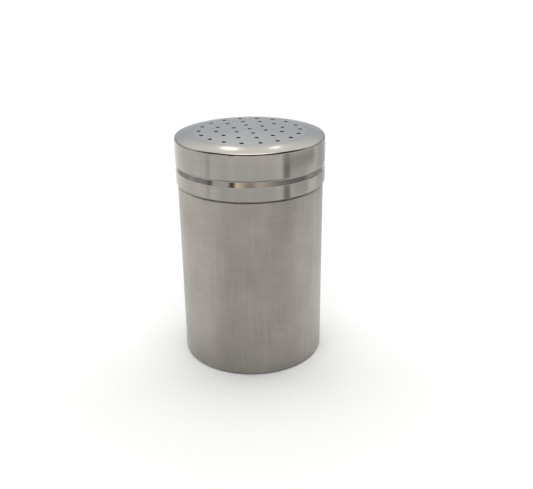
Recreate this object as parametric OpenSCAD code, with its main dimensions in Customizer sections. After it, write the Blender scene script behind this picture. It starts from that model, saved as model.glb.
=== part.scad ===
// Two-piece powder shaker in sheet steel: a drawn can and a perforated push-on lid.
// Millimetres, +Z up, origin at the middle of the underside of the base.

/* [Sheet] */
// Thickness of the steel sheet of both pieces
sheet = 0.5; // [0.3:0.05:0.6]

/* [Can] */
// Outer diameter of the can's straight wall
can_d = 68.4; // [56:0.1:120]
// Height of the straight wall, from the base to the start of the shoulder
wall_h = 86; // [30:0.1:200]
// Outer radius of the bend between the base and the wall
base_bend_r = 1.5; // [0.8:0.1:6]
// Width of the flat ring that the can stands on
foot_w = 4; // [1:0.1:10]
// Height of the raised middle of the base
dish_h = 0.8; // [0.3:0.1:1.6]
// Bend radius at the edge of the raised middle
dish_bend_r = 1.2; // [0.9:0.1:3]
// Radial step from the wall in to the neck that the lid covers
neck_step = 0.4; // [0.2:0.05:1]
// Outer bend radius at the top of the wall
shoulder_r = 1.5; // [0.8:0.1:4]
// Bend radius at the foot of the neck
neck_foot_r = 0.8; // [0.4:0.1:3]
// Outer radius of the inward curl round the mouth
curl_r = 0.9; // [0.7:0.05:1.5]

/* [Lid] */
// Height of the lid, from its lower edge to the middle of its top
lid_h = 23.5; // [18:0.05:60]
// Radial step from the can's wall out to the lid's skirt
lid_step = 0.8; // [0.7:0.05:1.1]
// Rise of the perforated panel from its edge to its middle
dome_rise = 0.7; // [0.2:0.1:2]
// Slope of the lid's top where it reaches the rim, in degrees
rim_slope = 16; // [10:0.5:30]
// Outer radius of the rim between the top and the skirt
rim_bend_r = 1.2; // [0.7:0.05:2]
// Height of the upper edge of the grip groove above the lid's lower edge
groove_top = 9.6; // [6.5:0.05:14]
// Height of the groove's steep upper flank
groove_upper_h = 1; // [0.95:0.05:2]
// Height of the groove's long lower flank
groove_lower_h = 2.5; // [2:0.05:4.5]
// Inner bend radius at the upper edge of the groove
groove_lip_r = 0.1; // [0.05:0.05:0.3]
// Outer bend radius along the bottom of the groove
groove_root_r = 0.4; // [0.2:0.05:0.45]
// Outer bend radius at the lower edge of the groove
groove_foot_r = 1.5; // [0.7:0.1:3]

/* [Holes] */
// Diameter of each hole
hole_d = 1.9; // [0.8:0.1:4]
// Distance between the rings of holes
hole_pitch = 7.8; // [5:0.1:8.5]
// Number of rings of holes round the middle hole
hole_rings = 3; // [1:1:3]
// Direction in which all the rings have a hole, in degrees
hole_turn = 101.3; // [0:0.1:360]
// Width of the flat margin round the outermost ring
panel_margin = 2; // [1:0.1:4]

/* [Fit] */
// Gap between the groove's inner crest and the neck
grip_gap = 0.15; // [0.05:0.05:0.3]
// Gap between the curl of the mouth and the underside of the lid's top
seat_gap = 0.1; // [0.05:0.05:0.5]
// Height of the shoulder that shows below the lid's lower edge
reveal_h = 1.6; // [0.5:0.05:6]

/* [Hidden] */
$fn = 180;
cut = 1;

can_r = can_d / 2;
neck_r = can_r - neck_step;
lid_r = can_r + lid_step;
lid_z = wall_h + reveal_h;

// The perforated panel is a shallow cap of a sphere.
panel_r = hole_rings * hole_pitch + panel_margin;
dome_r = (panel_r * panel_r + dome_rise * dome_rise) / (2 * dome_rise);
panel_slope = asin(panel_r / dome_r);

// The brow is the curved ring between the panel and the rim.
brow_end = lid_r - rim_bend_r * (1 - sin(rim_slope));
brow_r = (brow_end - panel_r) / (sin(rim_slope) - sin(panel_slope));
brow_x = panel_r - brow_r * sin(panel_slope);
brow_z = lid_h - dome_rise - brow_r * cos(panel_slope);
rim_z = brow_z + (brow_r - rim_bend_r) * cos(rim_slope);

// The groove has a short steep flank above its root, and a long gentle one below it.
groove_depth = lid_r - sheet - neck_r - grip_gap;
groove_mid = groove_top - groove_upper_h;
groove_x = lid_r - groove_depth + groove_root_r;

// The bends at the top and bottom of the steep flank share its height, so the top one is held
// just under the size at which the flank has no straight part left.
flank_room = 0.99 * (pow(groove_upper_h, 2) + pow(groove_depth, 2)) / (2 * groove_depth);
lip_r = min(sheet + groove_lip_r, flank_room - groove_root_r);
upper_turn = flank_turn(groove_upper_h, lip_r + groove_root_r);
lower_turn = flank_turn(groove_lower_h, groove_root_r + groove_foot_r);

// The can's mouth stops just under the lid's brow.
curl_x = neck_r - curl_r;
curl_reach = brow_r - sheet - curl_r - seat_gap;
curl_z = lid_z + brow_z + sqrt(pow(curl_reach, 2) - pow(curl_x - brow_x, 2));
curl_end = 250;

dish_turn = acos(1 - dish_h / (2 * dish_bend_r));
foot_r = can_r - base_bend_r - foot_w;
dish_r = foot_r - 2 * dish_bend_r * sin(dish_turn);
neck_turn = acos(1 - neck_step / (shoulder_r + neck_foot_r));
neck_z = wall_h + (shoulder_r + neck_foot_r) * sin(neck_turn);

// A bend is [centre x, centre z, radius, first and last direction of the outside, steps].
// Its radius is negative where the outside of the sheet is the hollow side.
lid_bends = [
    [0, lid_h - dome_r, dome_r, 90, 90 - panel_slope, 6],
    [brow_x, brow_z, brow_r, 90 - panel_slope, 90 - rim_slope, 8],
    [lid_r - rim_bend_r, rim_z, rim_bend_r, 90 - rim_slope, 0, 8],
    [lid_r - lip_r, groove_top, lip_r, 0, -upper_turn, 6],
    [groove_x, groove_mid, -groove_root_r, -upper_turn, lower_turn, 8],
    [lid_r - groove_foot_r, groove_mid - groove_lower_h, groove_foot_r, lower_turn, 0, 4],
    [lid_r, sheet / 2, 0, 0, 0, 1]
];
can_bends = [
    [0, dish_h, 0, -90, -90, 1],
    [dish_r, dish_h - dish_bend_r, -dish_bend_r, -90, -90 - dish_turn, 6],
    [foot_r, dish_bend_r, dish_bend_r, -90 - dish_turn, -90, 6],
    [can_r - base_bend_r, base_bend_r, base_bend_r, -90, 0, 10],
    [can_r - shoulder_r, wall_h, shoulder_r, 0, neck_turn, 6],
    [neck_r + neck_foot_r, neck_z, -neck_foot_r, neck_turn, 0, 6],
    [curl_x, curl_z, curl_r, 0, curl_end, 20]
];

// Slope of a flank that goes in by the groove's depth over a height, between a bend and a
// hollow whose radii have the given sum
function flank_turn(height, radii) =
    let (across = radii - groove_depth)
    atan2(height, across) - acos(radii / norm([height, across]));

function facing(a) = [cos(a), sin(a)];

function angles(from, to, steps) = [for (i = [0:steps]) from + (to - from) * i / steps];

// Points of one bend, at a depth below the outside of the sheet
function bend_points(b, depth) =
    b[3] == b[4]
        ? [[b[0], b[1]] - depth * facing(b[3])]
        : [for (a = angles(b[3], b[4], b[5])) [b[0], b[1]] + (b[2] - depth) * facing(a)];

function skin(bends, depth) = [for (b = bends) for (p = bend_points(b, depth)) p];

function reversed(points) = [for (i = [len(points) - 1:-1:0]) points[i]];

// Half-round edge that joins the outside of the sheet to its inside
function raw_edge(bends, turn) =
    let (last = bends[len(bends) - 1], tip = skin(bends, sheet / 2))
    [for (a = angles(last[4], last[4] + turn, 8)) tip[len(tip) - 1] + sheet / 2 * facing(a)];

// Ring of sheet metal whose outside follows the bends
module drawn_sheet(bends, edge_turn) {
    edge = raw_edge(bends, edge_turn);
    inner_edge = [for (i = [1:len(edge) - 2]) edge[i]];
    rotate_extrude()
        polygon(concat(skin(bends, 0), inner_edge, reversed(skin(bends, sheet))));
}

module hole_pattern() {
    for (ring = [0:hole_rings]) {
        count = max(1, 6 * ring);
        for (i = [0:count - 1])
            rotate(hole_turn + 360 * i / count)
                translate([ring * hole_pitch, 0, lid_h - dome_rise - sheet - cut])
                    cylinder(h = dome_rise + sheet + 2 * cut, d = hole_d, $fn = 48);
    }
}

module body_can() {
    color("darkgray")
        drawn_sheet(can_bends, 180);
}

module shaker_lid() {
    color("silver")
        translate([0, 0, lid_z])
            difference() {
                drawn_sheet(lid_bends, -180);
                hole_pattern();
            }
}

body_can();
shaker_lid();
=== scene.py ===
import math

import bpy
from mathutils import Matrix, Vector
from mathutils.geometry import delaunay_2d_cdt


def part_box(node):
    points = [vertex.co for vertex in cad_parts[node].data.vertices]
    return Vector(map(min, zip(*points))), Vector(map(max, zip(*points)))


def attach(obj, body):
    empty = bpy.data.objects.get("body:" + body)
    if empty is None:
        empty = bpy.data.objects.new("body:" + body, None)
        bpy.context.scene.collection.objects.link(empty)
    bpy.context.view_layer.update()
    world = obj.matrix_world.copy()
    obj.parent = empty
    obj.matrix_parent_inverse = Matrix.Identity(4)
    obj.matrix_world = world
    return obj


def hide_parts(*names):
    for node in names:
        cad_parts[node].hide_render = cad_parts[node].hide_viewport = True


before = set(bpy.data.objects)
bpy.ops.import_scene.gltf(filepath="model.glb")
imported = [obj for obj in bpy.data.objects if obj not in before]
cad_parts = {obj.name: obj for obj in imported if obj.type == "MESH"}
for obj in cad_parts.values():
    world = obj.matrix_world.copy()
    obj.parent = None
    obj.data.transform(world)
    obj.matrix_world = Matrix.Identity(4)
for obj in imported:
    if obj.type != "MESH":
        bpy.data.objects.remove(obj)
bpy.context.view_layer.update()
can_low, can_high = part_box("body_can")
lid_low, lid_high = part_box("shaker_lid")

MM = 0.001
UP = 90
OUT = 0
DOWN = -90

# Sizes of the sheet-metal drawings, in metres. The overall sizes come from the frame.
SHEET = 0.5 * MM
CAN_R = (can_high.x - can_low.x) / 2
CAN_TOP = can_high.z
BASE_BEND_R = 1.5 * MM
FOOT_W = 4 * MM
DISH_H = 0.8 * MM
DISH_BEND_R = 1.2 * MM
WALL_TOP = 86 * MM
NECK_R = CAN_R - 0.4 * MM
SHOULDER_R = 1.5 * MM
NECK_FOOT_R = 0.8 * MM
CURL_R = 0.9 * MM
CURL_END = 250

LID_R = (lid_high.x - lid_low.x) / 2
LID_Z = lid_low.z
LID_TOP = lid_high.z
DOME_RISE = 0.7 * MM
RIM_SLOPE = 16
RIM_BEND_R = 1.2 * MM
GROOVE_DEPTH = LID_R - SHEET - NECK_R - 0.15 * MM
GROOVE_TOP = LID_Z + 9.6 * MM
GROOVE_ROOT = GROOVE_TOP - 1 * MM
GROOVE_FOOT = GROOVE_ROOT - 2.5 * MM
LIP_R = SHEET + 0.1 * MM
ROOT_R = 0.4 * MM
FOOT_R = 1.5 * MM
SKIRT_CROWN = 0.08 * MM

HOLE_R = 0.95 * MM
HOLE_ROLL = 0.1 * MM
HOLE_PITCH = 7.8 * MM
HOLE_RINGS = 3
HOLE_TURN = math.radians(101.3)
PANEL_R = HOLE_RINGS * HOLE_PITCH + 2 * MM

# Where the lid's finishes meet, down from its top or in from the panel's edge.
BROW_END = 2.2 * MM
BROW_FADE = 3 * MM
SKIRT_FADE = 3.4 * MM
SKIRT_START = 4.6 * MM

SEGMENTS = 192
HOLE_SEGMENTS = 24
SAME_PLACE = 0.0001 * MM


# ---------------------------------------------------------------- sheet-metal meshes

def facing(angle):
    a = math.radians(angle)
    return math.cos(a), math.sin(a)


def bend(x, z, r, start, end, step=6):
    """Points of an arc with the direction that the outside faces. A negative radius is a hollow."""
    count = max(1, round(abs(end - start) / step))
    return [(x, z, r, start + (end - start) * i / count) for i in range(count + 1)]


def skin(path, depth):
    """The path at a depth below the outside, as radius, height and outward direction."""
    points = []
    for x, z, r, angle in path:
        nx, nz = facing(angle)
        side = -1 if depth > SHEET / 2 else 1
        points.append((x + (r - depth) * nx, z + (r - depth) * nz, side * nx, side * nz))
    return points


def raw_edge(path, turn, steps=8):
    """Half-round edge that joins the outside of the sheet to its inside."""
    x, z, r, angle = path[-1]
    nx, nz = facing(angle)
    mid_x, mid_z = x + (r - SHEET / 2) * nx, z + (r - SHEET / 2) * nz
    points = []
    for i in range(1, steps):
        ex, ez = facing(angle + turn * i / steps)
        points.append((mid_x + SHEET / 2 * ex, mid_z + SHEET / 2 * ez, ex, ez))
    return points


class Shell:
    """Collects the points, faces, exact normals and material slots of one mesh."""

    def __init__(self):
        self.points, self.normals, self.faces, self.slots = [], [], [], []
        self.slot = 0

    def point(self, co, normal):
        self.points.append(co)
        self.normals.append(normal)
        return len(self.points) - 1

    def face(self, corners):
        self.faces.append(tuple(dict.fromkeys(corners)))
        self.slots.append(self.slot)

    def ring(self, r, z, nr, nz):
        if r < SAME_PLACE:
            return [self.point((0, 0, z), (0, 0, 1 if nz > 0 else -1))] * SEGMENTS
        made = []
        for i in range(SEGMENTS):
            c, s = math.cos(math.tau * i / SEGMENTS), math.sin(math.tau * i / SEGMENTS)
            made.append(self.point((r * c, r * s, z), (nr * c, nr * s, nz)))
        return made

    def band(self, a, b):
        """Faces between two rings."""
        n = len(a)
        for i in range(n):
            self.face([a[i], a[(i + 1) % n], b[(i + 1) % n], b[i]])

    def lathe(self, profile):
        """Rings along the profile. Where one bend ends and the next starts, one ring serves both."""
        apart = [math.dist(a[:2], b[:2]) > SAME_PLACE for a, b in zip(profile, profile[1:])]
        rings = [self.ring(*p) for p, kept in zip(profile, [True] + apart) if kept]
        for a, b in zip(rings, rings[1:]):
            self.band(a, b)
        return rings

    def outward(self, face):
        """The face, turned so that its own direction agrees with its points' normals."""
        a, b, c = (Vector(self.points[i]) for i in face[:3])
        wanted = sum((Vector(self.normals[i]) for i in face), Vector())
        return face if (b - a).cross(c - a).dot(wanted) > 0 else face[::-1]

    def build(self, name, *materials):
        mesh = bpy.data.meshes.new(name)
        mesh.from_pydata(self.points, [], [self.outward(f) for f in self.faces])
        mesh.polygons.foreach_set("use_smooth", [True] * len(mesh.polygons))
        mesh.polygons.foreach_set("material_index", self.slots)
        mesh.normals_split_custom_set_from_vertices(self.normals)
        for material in materials:
            mesh.materials.append(material)
        piece = bpy.data.objects.new(name, mesh)
        bpy.context.scene.collection.objects.link(piece)
        return piece


def level(x0, x1, z, angle, steps):
    """Straight stretch across, at one height."""
    return [(x0 + (x1 - x0) * i / steps, z, 0, angle) for i in range(steps + 1)]


def upright(x, z0, z1, steps):
    """Straight stretch up or down."""
    return [(x, z0 + (z1 - z0) * i / steps, 0, OUT) for i in range(steps + 1)]


def can_path():
    dish_turn = math.degrees(math.acos(1 - DISH_H / (2 * DISH_BEND_R)))
    foot_r = CAN_R - BASE_BEND_R - FOOT_W
    dish_r = foot_r - 2 * DISH_BEND_R * math.sin(math.radians(dish_turn))
    neck_turn = math.acos(1 - (CAN_R - NECK_R) / (SHOULDER_R + NECK_FOOT_R))
    neck_z = WALL_TOP + (SHOULDER_R + NECK_FOOT_R) * math.sin(neck_turn)
    neck_turn = math.degrees(neck_turn)
    curl_z = CAN_TOP - CURL_R
    return (
        level(0, dish_r, DISH_H, DOWN, 6)[:-1]
        + bend(dish_r, DISH_H - DISH_BEND_R, -DISH_BEND_R, DOWN, DOWN - dish_turn)
        + bend(foot_r, DISH_BEND_R, DISH_BEND_R, DOWN - dish_turn, DOWN)
        + bend(CAN_R - BASE_BEND_R, BASE_BEND_R, BASE_BEND_R, DOWN, OUT)
        + upright(CAN_R, BASE_BEND_R, WALL_TOP, 24)[1:-1]
        + bend(CAN_R - SHOULDER_R, WALL_TOP, SHOULDER_R, OUT, neck_turn, 4)
        + bend(NECK_R + NECK_FOOT_R, neck_z, -NECK_FOOT_R, neck_turn, OUT, 4)
        + upright(NECK_R, neck_z, curl_z, 6)[1:-1]
        + bend(NECK_R - CURL_R, curl_z, CURL_R, OUT, CURL_END, 10)
    )


def make_can(material):
    shell = Shell()
    path = can_path()
    shell.lathe(skin(path, 0) + raw_edge(path, 180) + skin(path, SHEET)[::-1])
    return shell.build("can_shell", material)


def flank_turn(height, radii):
    """Slope of a flank that goes in by the groove's depth, between two bends of given total radius."""
    across = radii - GROOVE_DEPTH
    return math.degrees(math.atan2(height, across) - math.acos(radii / math.hypot(height, across)))


def dome():
    """Radius, centre height and edge slope of the perforated panel."""
    r = (PANEL_R ** 2 + DOME_RISE ** 2) / (2 * DOME_RISE)
    return r, LID_TOP - r, math.degrees(math.asin(PANEL_R / r))


def crowned(z0, z1, steps):
    """Skirt that stands in by the crown at its top end and is upright at its lower end."""
    points = []
    for i in range(steps + 1):
        t = i / steps
        lean = math.degrees(math.atan(2 * SKIRT_CROWN * (1 - t) / (z0 - z1)))
        points.append((LID_R - SKIRT_CROWN * (1 - t) ** 2, z0 + (z1 - z0) * t, 0, lean))
    return points


def lid_path():
    """From the edge of the panel, over the rim and down the skirt to the lower edge."""
    dome_r, dome_z, panel_slope = dome()
    steep, gentle = math.radians(RIM_SLOPE), math.radians(panel_slope)
    rim_x = LID_R - RIM_BEND_R - SKIRT_CROWN
    brow_r = (rim_x + RIM_BEND_R * math.sin(steep) - PANEL_R) / (math.sin(steep) - math.sin(gentle))
    brow_x = PANEL_R - brow_r * math.sin(gentle)
    brow_z = LID_TOP - DOME_RISE - brow_r * math.cos(gentle)
    rim_z = brow_z + (brow_r - RIM_BEND_R) * math.cos(steep)
    upper_turn = flank_turn(GROOVE_TOP - GROOVE_ROOT, LIP_R + ROOT_R)
    lower_turn = flank_turn(GROOVE_ROOT - GROOVE_FOOT, ROOT_R + FOOT_R)
    root_x = LID_R - GROOVE_DEPTH + ROOT_R
    return (
        bend(brow_x, brow_z, brow_r, UP - panel_slope, UP - RIM_SLOPE, 1)
        + bend(rim_x, rim_z, RIM_BEND_R, UP - RIM_SLOPE, OUT)[1:-1]
        + crowned(rim_z, GROOVE_TOP, 10)[:-1]
        + bend(LID_R - LIP_R, GROOVE_TOP, LIP_R, OUT, -upper_turn)
        + bend(root_x, GROOVE_ROOT, -ROOT_R, -upper_turn, lower_turn)
        + bend(LID_R - FOOT_R, GROOVE_FOOT, FOOT_R, lower_turn, OUT, 2)
        + upright(LID_R, GROOVE_FOOT, LID_Z + SHEET / 2, 6)[1:]
    )


def hole_centres():
    centres = [(0.0, 0.0)]
    for ring in range(1, HOLE_RINGS + 1):
        for i in range(6 * ring):
            a = HOLE_TURN + math.tau * i / (6 * ring)
            centres.append((ring * HOLE_PITCH * math.cos(a), ring * HOLE_PITCH * math.sin(a)))
    return centres


def circle(x, y, r, count):
    return [
        (x + r * math.cos(math.tau * i / count), y + r * math.sin(math.tau * i / count))
        for i in range(count)
    ]


def panel_layout(centres, collar_r):
    """Flat triangles of the panel round its holes: the outer ring comes first, then each collar."""
    spots = circle(0, 0, PANEL_R, SEGMENTS)
    edges = [(i, (i + 1) % SEGMENTS) for i in range(SEGMENTS)]
    for x, y in centres:
        first = len(spots)
        spots += circle(x, y, collar_r, HOLE_SEGMENTS)
        edges += [(first + i, first + (i + 1) % HOLE_SEGMENTS) for i in range(HOLE_SEGMENTS)]
    spacing = HOLE_PITCH / 6
    for ring in range(1, int(PANEL_R / spacing)):
        r = ring * spacing
        for x, y in circle(0, 0, r, 6 * ring):
            if r < PANEL_R - spacing / 2 and all(
                math.dist((x, y), c) > collar_r + spacing / 2 for c in centres
            ):
                spots.append((x, y))
    flat = [Vector((x / MM, y / MM)) for x, y in spots]
    made, _, faces, origin, _, _ = delaunay_2d_cdt(flat, edges, [], 0, 1e-5)
    spot_of = [min(o) for o in origin]
    kept = []
    for face in faces:
        corners = [spot_of[v] for v in face]
        mid = [sum(spots[c][k] for c in corners) / len(corners) for k in (0, 1)]
        if all(math.dist(mid, c) > collar_r * 0.98 for c in centres):
            kept.append(corners)
    return spots, kept


def dome_point(x, y, depth):
    """Place and direction of the panel's skin, at a depth below its outside."""
    dome_r, dome_z, _ = dome()
    r = dome_r - depth
    normal = Vector((x, y, math.sqrt(r * r - x * x - y * y))).normalized()
    return normal * r + Vector((0, 0, dome_z)), normal if depth == 0 else -normal


def make_lid(steel_skin, hole_shade):
    shell = Shell()
    path = lid_path()
    rings = shell.lathe(skin(path, 0) + raw_edge(path, -180) + skin(path, SHEET)[::-1])
    centres = hole_centres()
    collar_r = HOLE_R + HOLE_ROLL
    spots, faces = panel_layout(centres, collar_r)
    collars = {}
    for depth, rim_ring in ((0, rings[0]), (SHEET, rings[-1])):
        ids = list(rim_ring)
        for x, y in spots[SEGMENTS:]:
            co, normal = dome_point(x, y, depth)
            ids.append(shell.point(tuple(co), tuple(normal)))
        for face in faces:
            shell.face([ids[c] for c in face])
        collars[depth] = ids
    # The hole walls take the second slot, which holds the painted shade of the holes.
    shell.slot = 1
    for number, (x, y) in enumerate(centres):
        first = SEGMENTS + number * HOLE_SEGMENTS
        top = collars[0][first:first + HOLE_SEGMENTS]
        low = collars[SHEET][first:first + HOLE_SEGMENTS]
        top_z = dome_point(x, y, 0)[0].z
        low_z = dome_point(x, y, SHEET)[0].z
        rows = [top]
        for t in (30, 60, 90, -90, -60, -30):
            c, s = facing(t)
            drop = HOLE_ROLL * (1 - c)
            z = top_z - drop if t > 0 else low_z + drop
            row = []
            for i, (px, py) in enumerate(circle(x, y, HOLE_R + HOLE_ROLL * (1 - abs(s)), HOLE_SEGMENTS)):
                a = math.tau * i / HOLE_SEGMENTS
                normal = (-abs(s) * math.cos(a), -abs(s) * math.sin(a), c if t > 0 else -c)
                row.append(shell.point((px, py, z), normal))
            rows.append(row)
        rows.append(low)
        for a, b in zip(rows, rows[1:]):
            shell.band(b, a)
    return shell.build("lid_shell", steel_skin, hole_shade)


# ---------------------------------------------------------------- materials

class Nodes:
    """Short way to add shader nodes to a material or world."""

    def __init__(self, owner):
        owner.use_nodes = True
        self.tree = owner.node_tree
        self.tree.nodes.clear()

    def add(self, kind, inputs=None, **settings):
        node = self.tree.nodes.new(kind)
        for key, value in settings.items():
            setattr(node, key, value)
        for key, value in (inputs or {}).items():
            if isinstance(value, bpy.types.NodeSocket):
                self.tree.links.new(value, node.inputs[key])
            else:
                node.inputs[key].default_value = value
        return node

    def math(self, operation, a, b=0.0, c=0.0, clamp=False):
        node = self.add("ShaderNodeMath", {0: a, 1: b, 2: c}, operation=operation, use_clamp=clamp)
        return node.outputs[0]

    def span(self, value, low, high, to_low=0.0, to_high=1.0, smooth=True):
        """Value from low..high, spread over to_low..to_high."""
        kind = "SMOOTHSTEP" if smooth else "LINEAR"
        inputs = {"Value": value, "From Min": low, "From Max": high, "To Min": to_low, "To Max": to_high}
        return self.add("ShaderNodeMapRange", inputs, interpolation_type=kind).outputs[0]

    def place(self):
        return self.add("ShaderNodeTexCoord").outputs["Object"]

    def split(self, vector):
        return self.add("ShaderNodeSeparateXYZ", {0: vector}).outputs

    def distance(self, x, y):
        """Distance from the z axis."""
        return self.math("SQRT", self.math("ADD", self.math("MULTIPLY", x, x), self.math("MULTIPLY", y, y)))

    def direction(self, x, y):
        """Degrees round the z axis, from the camera's side at 0 round to the right."""
        return self.math("DEGREES", self.math("ARCTAN2", x, self.math("MULTIPLY", y, -1.0)))

    def noise(self, per_metre, detail=2.0, roughness=0.5):
        """Noise about zero that repeats so many times per metre along x, y and z."""
        stretched = self.add("ShaderNodeVectorMath", {0: self.place(), 1: per_metre}, operation="MULTIPLY")
        noise = self.add(
            "ShaderNodeTexNoise",
            {"Vector": stretched.outputs[0], "Scale": 1.0, "Detail": detail, "Roughness": roughness},
        )
        return self.math("SUBTRACT", noise.outputs["Fac"], 0.5)

    def weighted(self, parts):
        """Sum of values, each times its weight."""
        total = 0.0
        for value, weight in parts:
            total = self.math("MULTIPLY_ADD", value, weight, total)
        return total

    def tint(self, factor, dark, light):
        """Colour between two, by a factor."""
        return self.blend(factor, (*dark, 1), (*light, 1))

    def blend(self, factor, first, second):
        mix = self.add("ShaderNodeMix", {0: factor, 6: first, 7: second}, data_type="RGBA")
        return mix.outputs[2]

    def finish(self, colour, rough, height, bump, anisotropic, turn, metallic=1.0):
        """Metal shader, brushed round the z axis. The bump is in metres."""
        relief = self.add("ShaderNodeBump", {"Height": height, "Strength": 1.0, "Distance": bump})
        tangent = self.add("ShaderNodeTangent", direction_type="RADIAL", axis="Z")
        shader = self.add(
            "ShaderNodeBsdfPrincipled",
            {
                "Base Color": colour,
                "Metallic": metallic,
                "Roughness": rough,
                "Anisotropic": anisotropic,
                "Anisotropic Rotation": turn,
                "Normal": relief.outputs[0],
                "Tangent": tangent.outputs[0],
            },
        )
        self.add("ShaderNodeOutputMaterial", {"Surface": shader.outputs[0]})


def shades(colour, contrast):
    """The colour made darker and lighter by a share."""
    return [tuple(min(1, c * f) for c in colour) for f in (1 - contrast, 1 + contrast)]


def cross_brushed():
    """Satin steel, brushed both up the wall and round it, with soft uneven patches."""
    material = bpy.data.materials.new("can_steel")
    n = Nodes(material)
    patches = n.noise((60, 60, 45), 4.0, 0.55)
    upward = n.weighted([(n.noise((1000, 1000, 35)), 1.0), (n.noise((2600, 2600, 60)), 0.8)])
    round_wall = n.weighted([(n.noise((60, 60, 1000)), 1.0), (n.noise((120, 120, 2400)), 0.8)])
    upward = n.math("MULTIPLY", upward, n.span(n.noise((90, 90, 40)), -0.2, 0.2, 0.3, 1.0))
    round_wall = n.math("MULTIPLY", round_wall, n.span(n.noise((80, 80, 80)), -0.2, 0.2, 0.2, 1.2))
    brush = n.weighted([(upward, 1.1), (round_wall, 0.7)])
    factor = n.weighted([(brush, 0.75), (patches, 1.3)])
    colour = n.tint(n.math("ADD", factor, 0.5, clamp=True), *shades((0.352, 0.329, 0.3), 0.18))
    n.finish(colour, n.span(factor, -0.5, 0.5, 0.38, 0.3, smooth=False), brush, 0.003 * MM, 0.35, 0.0)
    return material


def lid_finish():
    """One sheet with four finishes: satin panel, bright brow and rim, brushed skirt, bright groove."""
    material = bpy.data.materials.new("lid_steel")
    n = Nodes(material)
    x, y, z = n.split(n.place())
    across = n.distance(x, y)
    panel = n.span(across, PANEL_R + 2 * MM, PANEL_R - 0.5 * MM)
    skirt = n.span(z, LID_TOP - SKIRT_FADE, LID_TOP - SKIRT_START)
    above_foot = n.span(z, GROOVE_FOOT, GROOVE_FOOT + 1 * MM)
    below_top = n.span(z, GROOVE_TOP, GROOVE_TOP - 0.5 * MM)
    in_groove = n.math("MULTIPLY", above_foot, below_top)
    brushed = n.math("MULTIPLY", skirt, n.math("SUBTRACT", 1.0, in_groove))
    rings = n.weighted([(n.noise((25, 25, 2200)), 1.0), (n.noise((80, 80, 5000)), 0.6)])
    bands = n.noise((150, 150, 6))
    speckle = n.noise((2200, 2200, 2200), 3.0, 0.6)
    patches = n.noise((60, 60, 60))
    grain = n.weighted([
        (n.math("MULTIPLY", rings, brushed), 0.8),
        (n.math("MULTIPLY", speckle, panel), 0.7),
    ])
    factor = n.weighted([(grain, 0.7), (n.math("MULTIPLY", bands, brushed), 1.2), (patches, 0.5)])
    factor = n.math("ADD", factor, 0.5, clamp=True)
    warm = n.tint(factor, *shades((0.365, 0.344, 0.317), 0.16))
    cool = n.tint(factor, *shades((0.36, 0.356, 0.35), 0.1))
    brow = n.span(z, LID_TOP - BROW_FADE, LID_TOP - BROW_END)
    rough = n.weighted([(panel, 0.14), (brow, 0.08), (brushed, 0.05), (grain, 0.06)])
    rough = n.math("ADD", rough, 0.09)
    n.finish(n.blend(panel, warm, cool), rough, grain, 0.002 * MM, 0.3, 0.25)
    return material


def hole_painted_shade():
    """Torn, dull metal round the inside of each hole, painted near-black: painted shade that makes the
    holes look dark.
    """
    material = bpy.data.materials.new("hole_painted_shade")
    n = Nodes(material)
    grain = n.noise((6000, 6000, 1500), 3.0)
    # Near-black colour: painted shade inside the holes.
    colour = n.tint(n.math("ADD", grain, 0.5, clamp=True), *shades((0.07, 0.066, 0.062), 0.4))
    n.finish(colour, n.span(grain, -0.5, 0.5, 0.6, 0.45, smooth=False), grain, 0.01 * MM, 0.0, 0.0)
    return material


can = make_can(cross_brushed())
lid = make_lid(lid_finish(), hole_painted_shade())
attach(can, "can")
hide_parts("body_can")
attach(lid, "lid")
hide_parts("shaker_lid")


# ---------------------------------------------------------------- stage

STAGE_SIZE = 4.0
SHADE_SHEET_LIFT = 0.5 * MM


def level_sheet(name, z):
    """Square sheet as large as the stage, at a height."""
    mesh = bpy.data.meshes.new(name)
    corners = [(-1, -1), (1, -1), (1, 1), (-1, 1)]
    points = [(x * STAGE_SIZE, y * STAGE_SIZE, z) for x, y in corners]
    mesh.from_pydata(points, [], [(0, 1, 2, 3)])
    sheet = bpy.data.objects.new(name, mesh)
    bpy.context.scene.collection.objects.link(sheet)
    return sheet


def make_floor():
    floor = level_sheet("floor", 0)
    material = bpy.data.materials.new("paper")
    n = Nodes(material)
    colour = n.tint(n.math("ADD", n.noise((3, 3, 3)), 0.5), (0.86, 0.86, 0.86), (0.88, 0.88, 0.88))
    shader = n.add("ShaderNodeBsdfPrincipled", {"Base Color": colour, "Roughness": 0.9})
    n.add("ShaderNodeOutputMaterial", {"Surface": shader.outputs[0]})
    floor.data.materials.append(material)


# Patches of painted shade round the shaker, seen only in its reflections as shadow on the floor:
# middle direction from the camera's side, counted to the right, and half width, both in degrees;
# nearest and furthest distance in metres; softness of the edges, as a share; and how dark.
FLOOR_SHADE_PATCHES = [
    (0, 50, 0.02, 0.36, 0.45, 0.22),
    (-15, 75, 0.37, 0.47, 0.3, 0.12),
    (53, 5.2, 0.18, 0.46, 0.3, 0.6),
    (-63, 3.0, 0.26, 0.46, 0.5, 0.2),
    (81, 28, 0.375, 0.43, 0.3, 0.8),
    (78, 14, 0.285, 0.32, 0.4, 0.5),
    (140, 24, 0.27, 0.46, 0.4, 0.36),
    (126, 30, 0.58, 3.8, 0.08, 0.5),
    (-128, 28, 0.58, 3.8, 0.08, 0.5),
]


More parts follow.
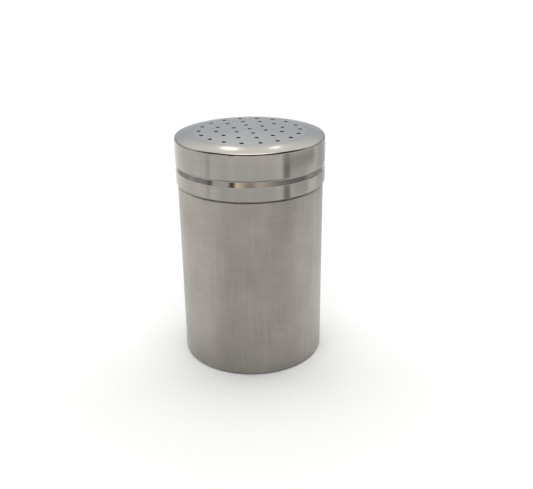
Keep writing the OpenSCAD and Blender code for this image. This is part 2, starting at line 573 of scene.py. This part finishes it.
def make_reflected_floor_shade():
    """One sheet just over the floor that holds all the patches of painted shade and is clear between them.
    """
    shade_sheet = level_sheet("shade_sheet", SHADE_SHEET_LIFT)
    shade_sheet.visible_camera = shade_sheet.visible_diffuse = shade_sheet.visible_shadow = False
    material = bpy.data.materials.new("painted_floor_shade")
    n = Nodes(material)
    x, y, _ = n.split(n.place())
    turn = n.direction(x, y)
    away = n.distance(x, y)
    clear = 1.0
    for middle, half, near, far, soft, dark in FLOOR_SHADE_PATCHES:
        off = n.math("ABSOLUTE", n.math("SUBTRACT", turn, middle))
        wide = n.span(off, half * (1 + soft), half * (1 - soft))
        edge = soft * (far - near) / 2
        past_near = n.span(away, near - edge, near + edge)
        before_far = n.span(away, far + edge, far - edge)
        deep = n.math("MULTIPLY", past_near, before_far)
        shade = n.math("MULTIPLY", n.math("MULTIPLY", wide, deep), dark)
        clear = n.math("MULTIPLY", clear, n.math("SUBTRACT", 1.0, shade))
    # Black where the patches of painted shade lie, clear elsewhere; only reflections see it.
    shader = n.add("ShaderNodeBsdfTransparent", {"Color": n.tint(clear, (0, 0, 0), (1, 1, 1))})
    n.add("ShaderNodeOutputMaterial", {"Surface": shader.outputs[0]})
    shade_sheet.data.materials.append(material)


# Colours of the room low down, by direction in degrees, from the camera's side at 0 round to
# the right.
ROOM = [
    (-180, (0.9, 0.93, 0.97)),
    (-140, (0.65, 0.66, 0.66)),
    (-110, (0.5, 0.52, 0.54)),
    (-70, (0.42, 0.44, 0.47)),
    (-61, (0.15, 0.15, 0.15)),
    (-57, (0.75, 0.75, 0.72)),
    (-40, (0.85, 0.83, 0.78)),
    (-33, (0.75, 0.72, 0.66)),
    (-30, (0.1, 0.1, 0.1)),
    (-25, (0.15, 0.15, 0.14)),
    (-21, (1.4, 1.2, 0.95)),
    (-13, (1.0, 0.9, 0.72)),
    (-4, (0.55, 0.5, 0.43)),
    (3, (0.6, 0.57, 0.5)),
    (12, (0.95, 0.88, 0.78)),
    (26, (0.7, 0.67, 0.6)),
    (40, (0.45, 0.45, 0.44)),
    (62, (0.33, 0.34, 0.35)),
    (85, (0.28, 0.29, 0.3)),
    (110, (0.6, 0.6, 0.58)),
    (180, (0.9, 0.93, 0.97)),
]


OVERHEAD = (3.1, 3.1, 3.05, 1)
FRONT_DARK = (0.06, 0.06, 0.063, 1)
REAR_LOW = (0.6, 0.64, 0.7)
REAR_HIGH = (1.4, 1.4, 1.37)


def make_world():
    """Soft room: pale behind and above, dark on the camera's side but for paler things low down."""
    world = bpy.data.worlds.new("studio")
    bpy.context.scene.world = world
    n = Nodes(world)
    x, y, z = n.split(n.add("ShaderNodeTexCoord").outputs["Generated"])
    height = n.math("DEGREES", n.math("ARCSINE", z))
    turn = n.direction(x, y)
    low = n.add("ShaderNodeValToRGB", {0: n.span(turn, -180, 180, smooth=False)})
    ramp = low.color_ramp
    ramp.elements.remove(ramp.elements[1])
    for degrees, colour in ROOM:
        place = degrees / 360 + 0.5
        stop = ramp.elements.new(place) if place > 0 else ramp.elements[0]
        stop.color = (*colour, 1)
    front = n.blend(n.span(height, 15, 24), low.outputs[0], FRONT_DARK)
    front = n.blend(n.span(height, 64, 74), front, OVERHEAD)
    rear = n.tint(n.span(height, 11, 40), REAR_LOW, REAR_HIGH)
    rear = n.blend(n.span(height, 60, 74), rear, OVERHEAD)
    mixed = n.blend(n.span(y, -0.1, 0.3), front, rear)
    shader = n.add("ShaderNodeBackground", {"Color": mixed, "Strength": 1.0})
    n.add("ShaderNodeOutputWorld", {"Surface": shader.outputs[0]})


def aim(thing, target):
    thing.rotation_euler = (Vector(target) - thing.location).to_track_quat("-Z", "Y").to_euler()


def softbox(name, place, target, size, power):
    data = bpy.data.lights.new(name, "AREA")
    data.shape = "ELLIPSE"
    data.size, data.size_y = size
    data.energy = power
    light = bpy.data.objects.new(name, data)
    light.location = place
    aim(light, target)
    light.visible_camera = False
    bpy.context.scene.collection.objects.link(light)
    return light


def fill_light():
    """Wide light from the camera's side that whitens the floor. The metal doesn't mirror it."""
    data = bpy.data.lights.new("fill", "SUN")
    data.energy = 1.2
    data.angle = math.radians(80)
    light = bpy.data.objects.new("fill", data)
    light.location = (0, -1, 1)
    aim(light, (0, 0, 0))
    light.visible_glossy = False
    bpy.context.scene.collection.objects.link(light)


# The camera: lens in millimetres, angles in degrees, and distances as shares of the can's radius.
LENS = 49.3
PITCH = 22.94
YAW = 1.26
ROLL = -0.59
CAMERA_BACK = 9.667
CAMERA_HEIGHT = 5.643


def make_camera():
    data = bpy.data.cameras.new("camera")
    data.sensor_width = 36
    data.lens = LENS
    camera = bpy.data.objects.new("camera", data)
    bpy.context.scene.collection.objects.link(camera)
    pitch, yaw, roll = math.radians(PITCH), math.radians(YAW), math.radians(ROLL)
    ahead = Vector((math.sin(yaw) * math.cos(pitch), math.cos(yaw) * math.cos(pitch), -math.sin(pitch)))
    level_right = ahead.cross(Vector((0, 0, 1))).normalized()
    level_up = level_right.cross(ahead)
    right = level_right * math.cos(roll) + level_up * math.sin(roll)
    up = level_up * math.cos(roll) - level_right * math.sin(roll)
    camera.matrix_world = Matrix((right, up, -ahead)).transposed().to_4x4()
    camera.location = (0, -CAMERA_BACK * CAN_R, CAMERA_HEIGHT * CAN_R)
    data.clip_start, data.clip_end = 0.01, 20
    bpy.context.scene.camera = camera


make_floor()
make_reflected_floor_shade()
make_world()
fill_light()
softbox("lamp_left", (-0.087, 0.9, 0.75), (0, 0, LID_TOP), (0.07, 0.08), 0.1)
softbox("lamp_right", (0.113, 0.9, 0.75), (0, 0, LID_TOP), (0.03, 0.06), 0.035)
make_camera()
bpy.context.scene.view_settings.view_transform = "Standard"
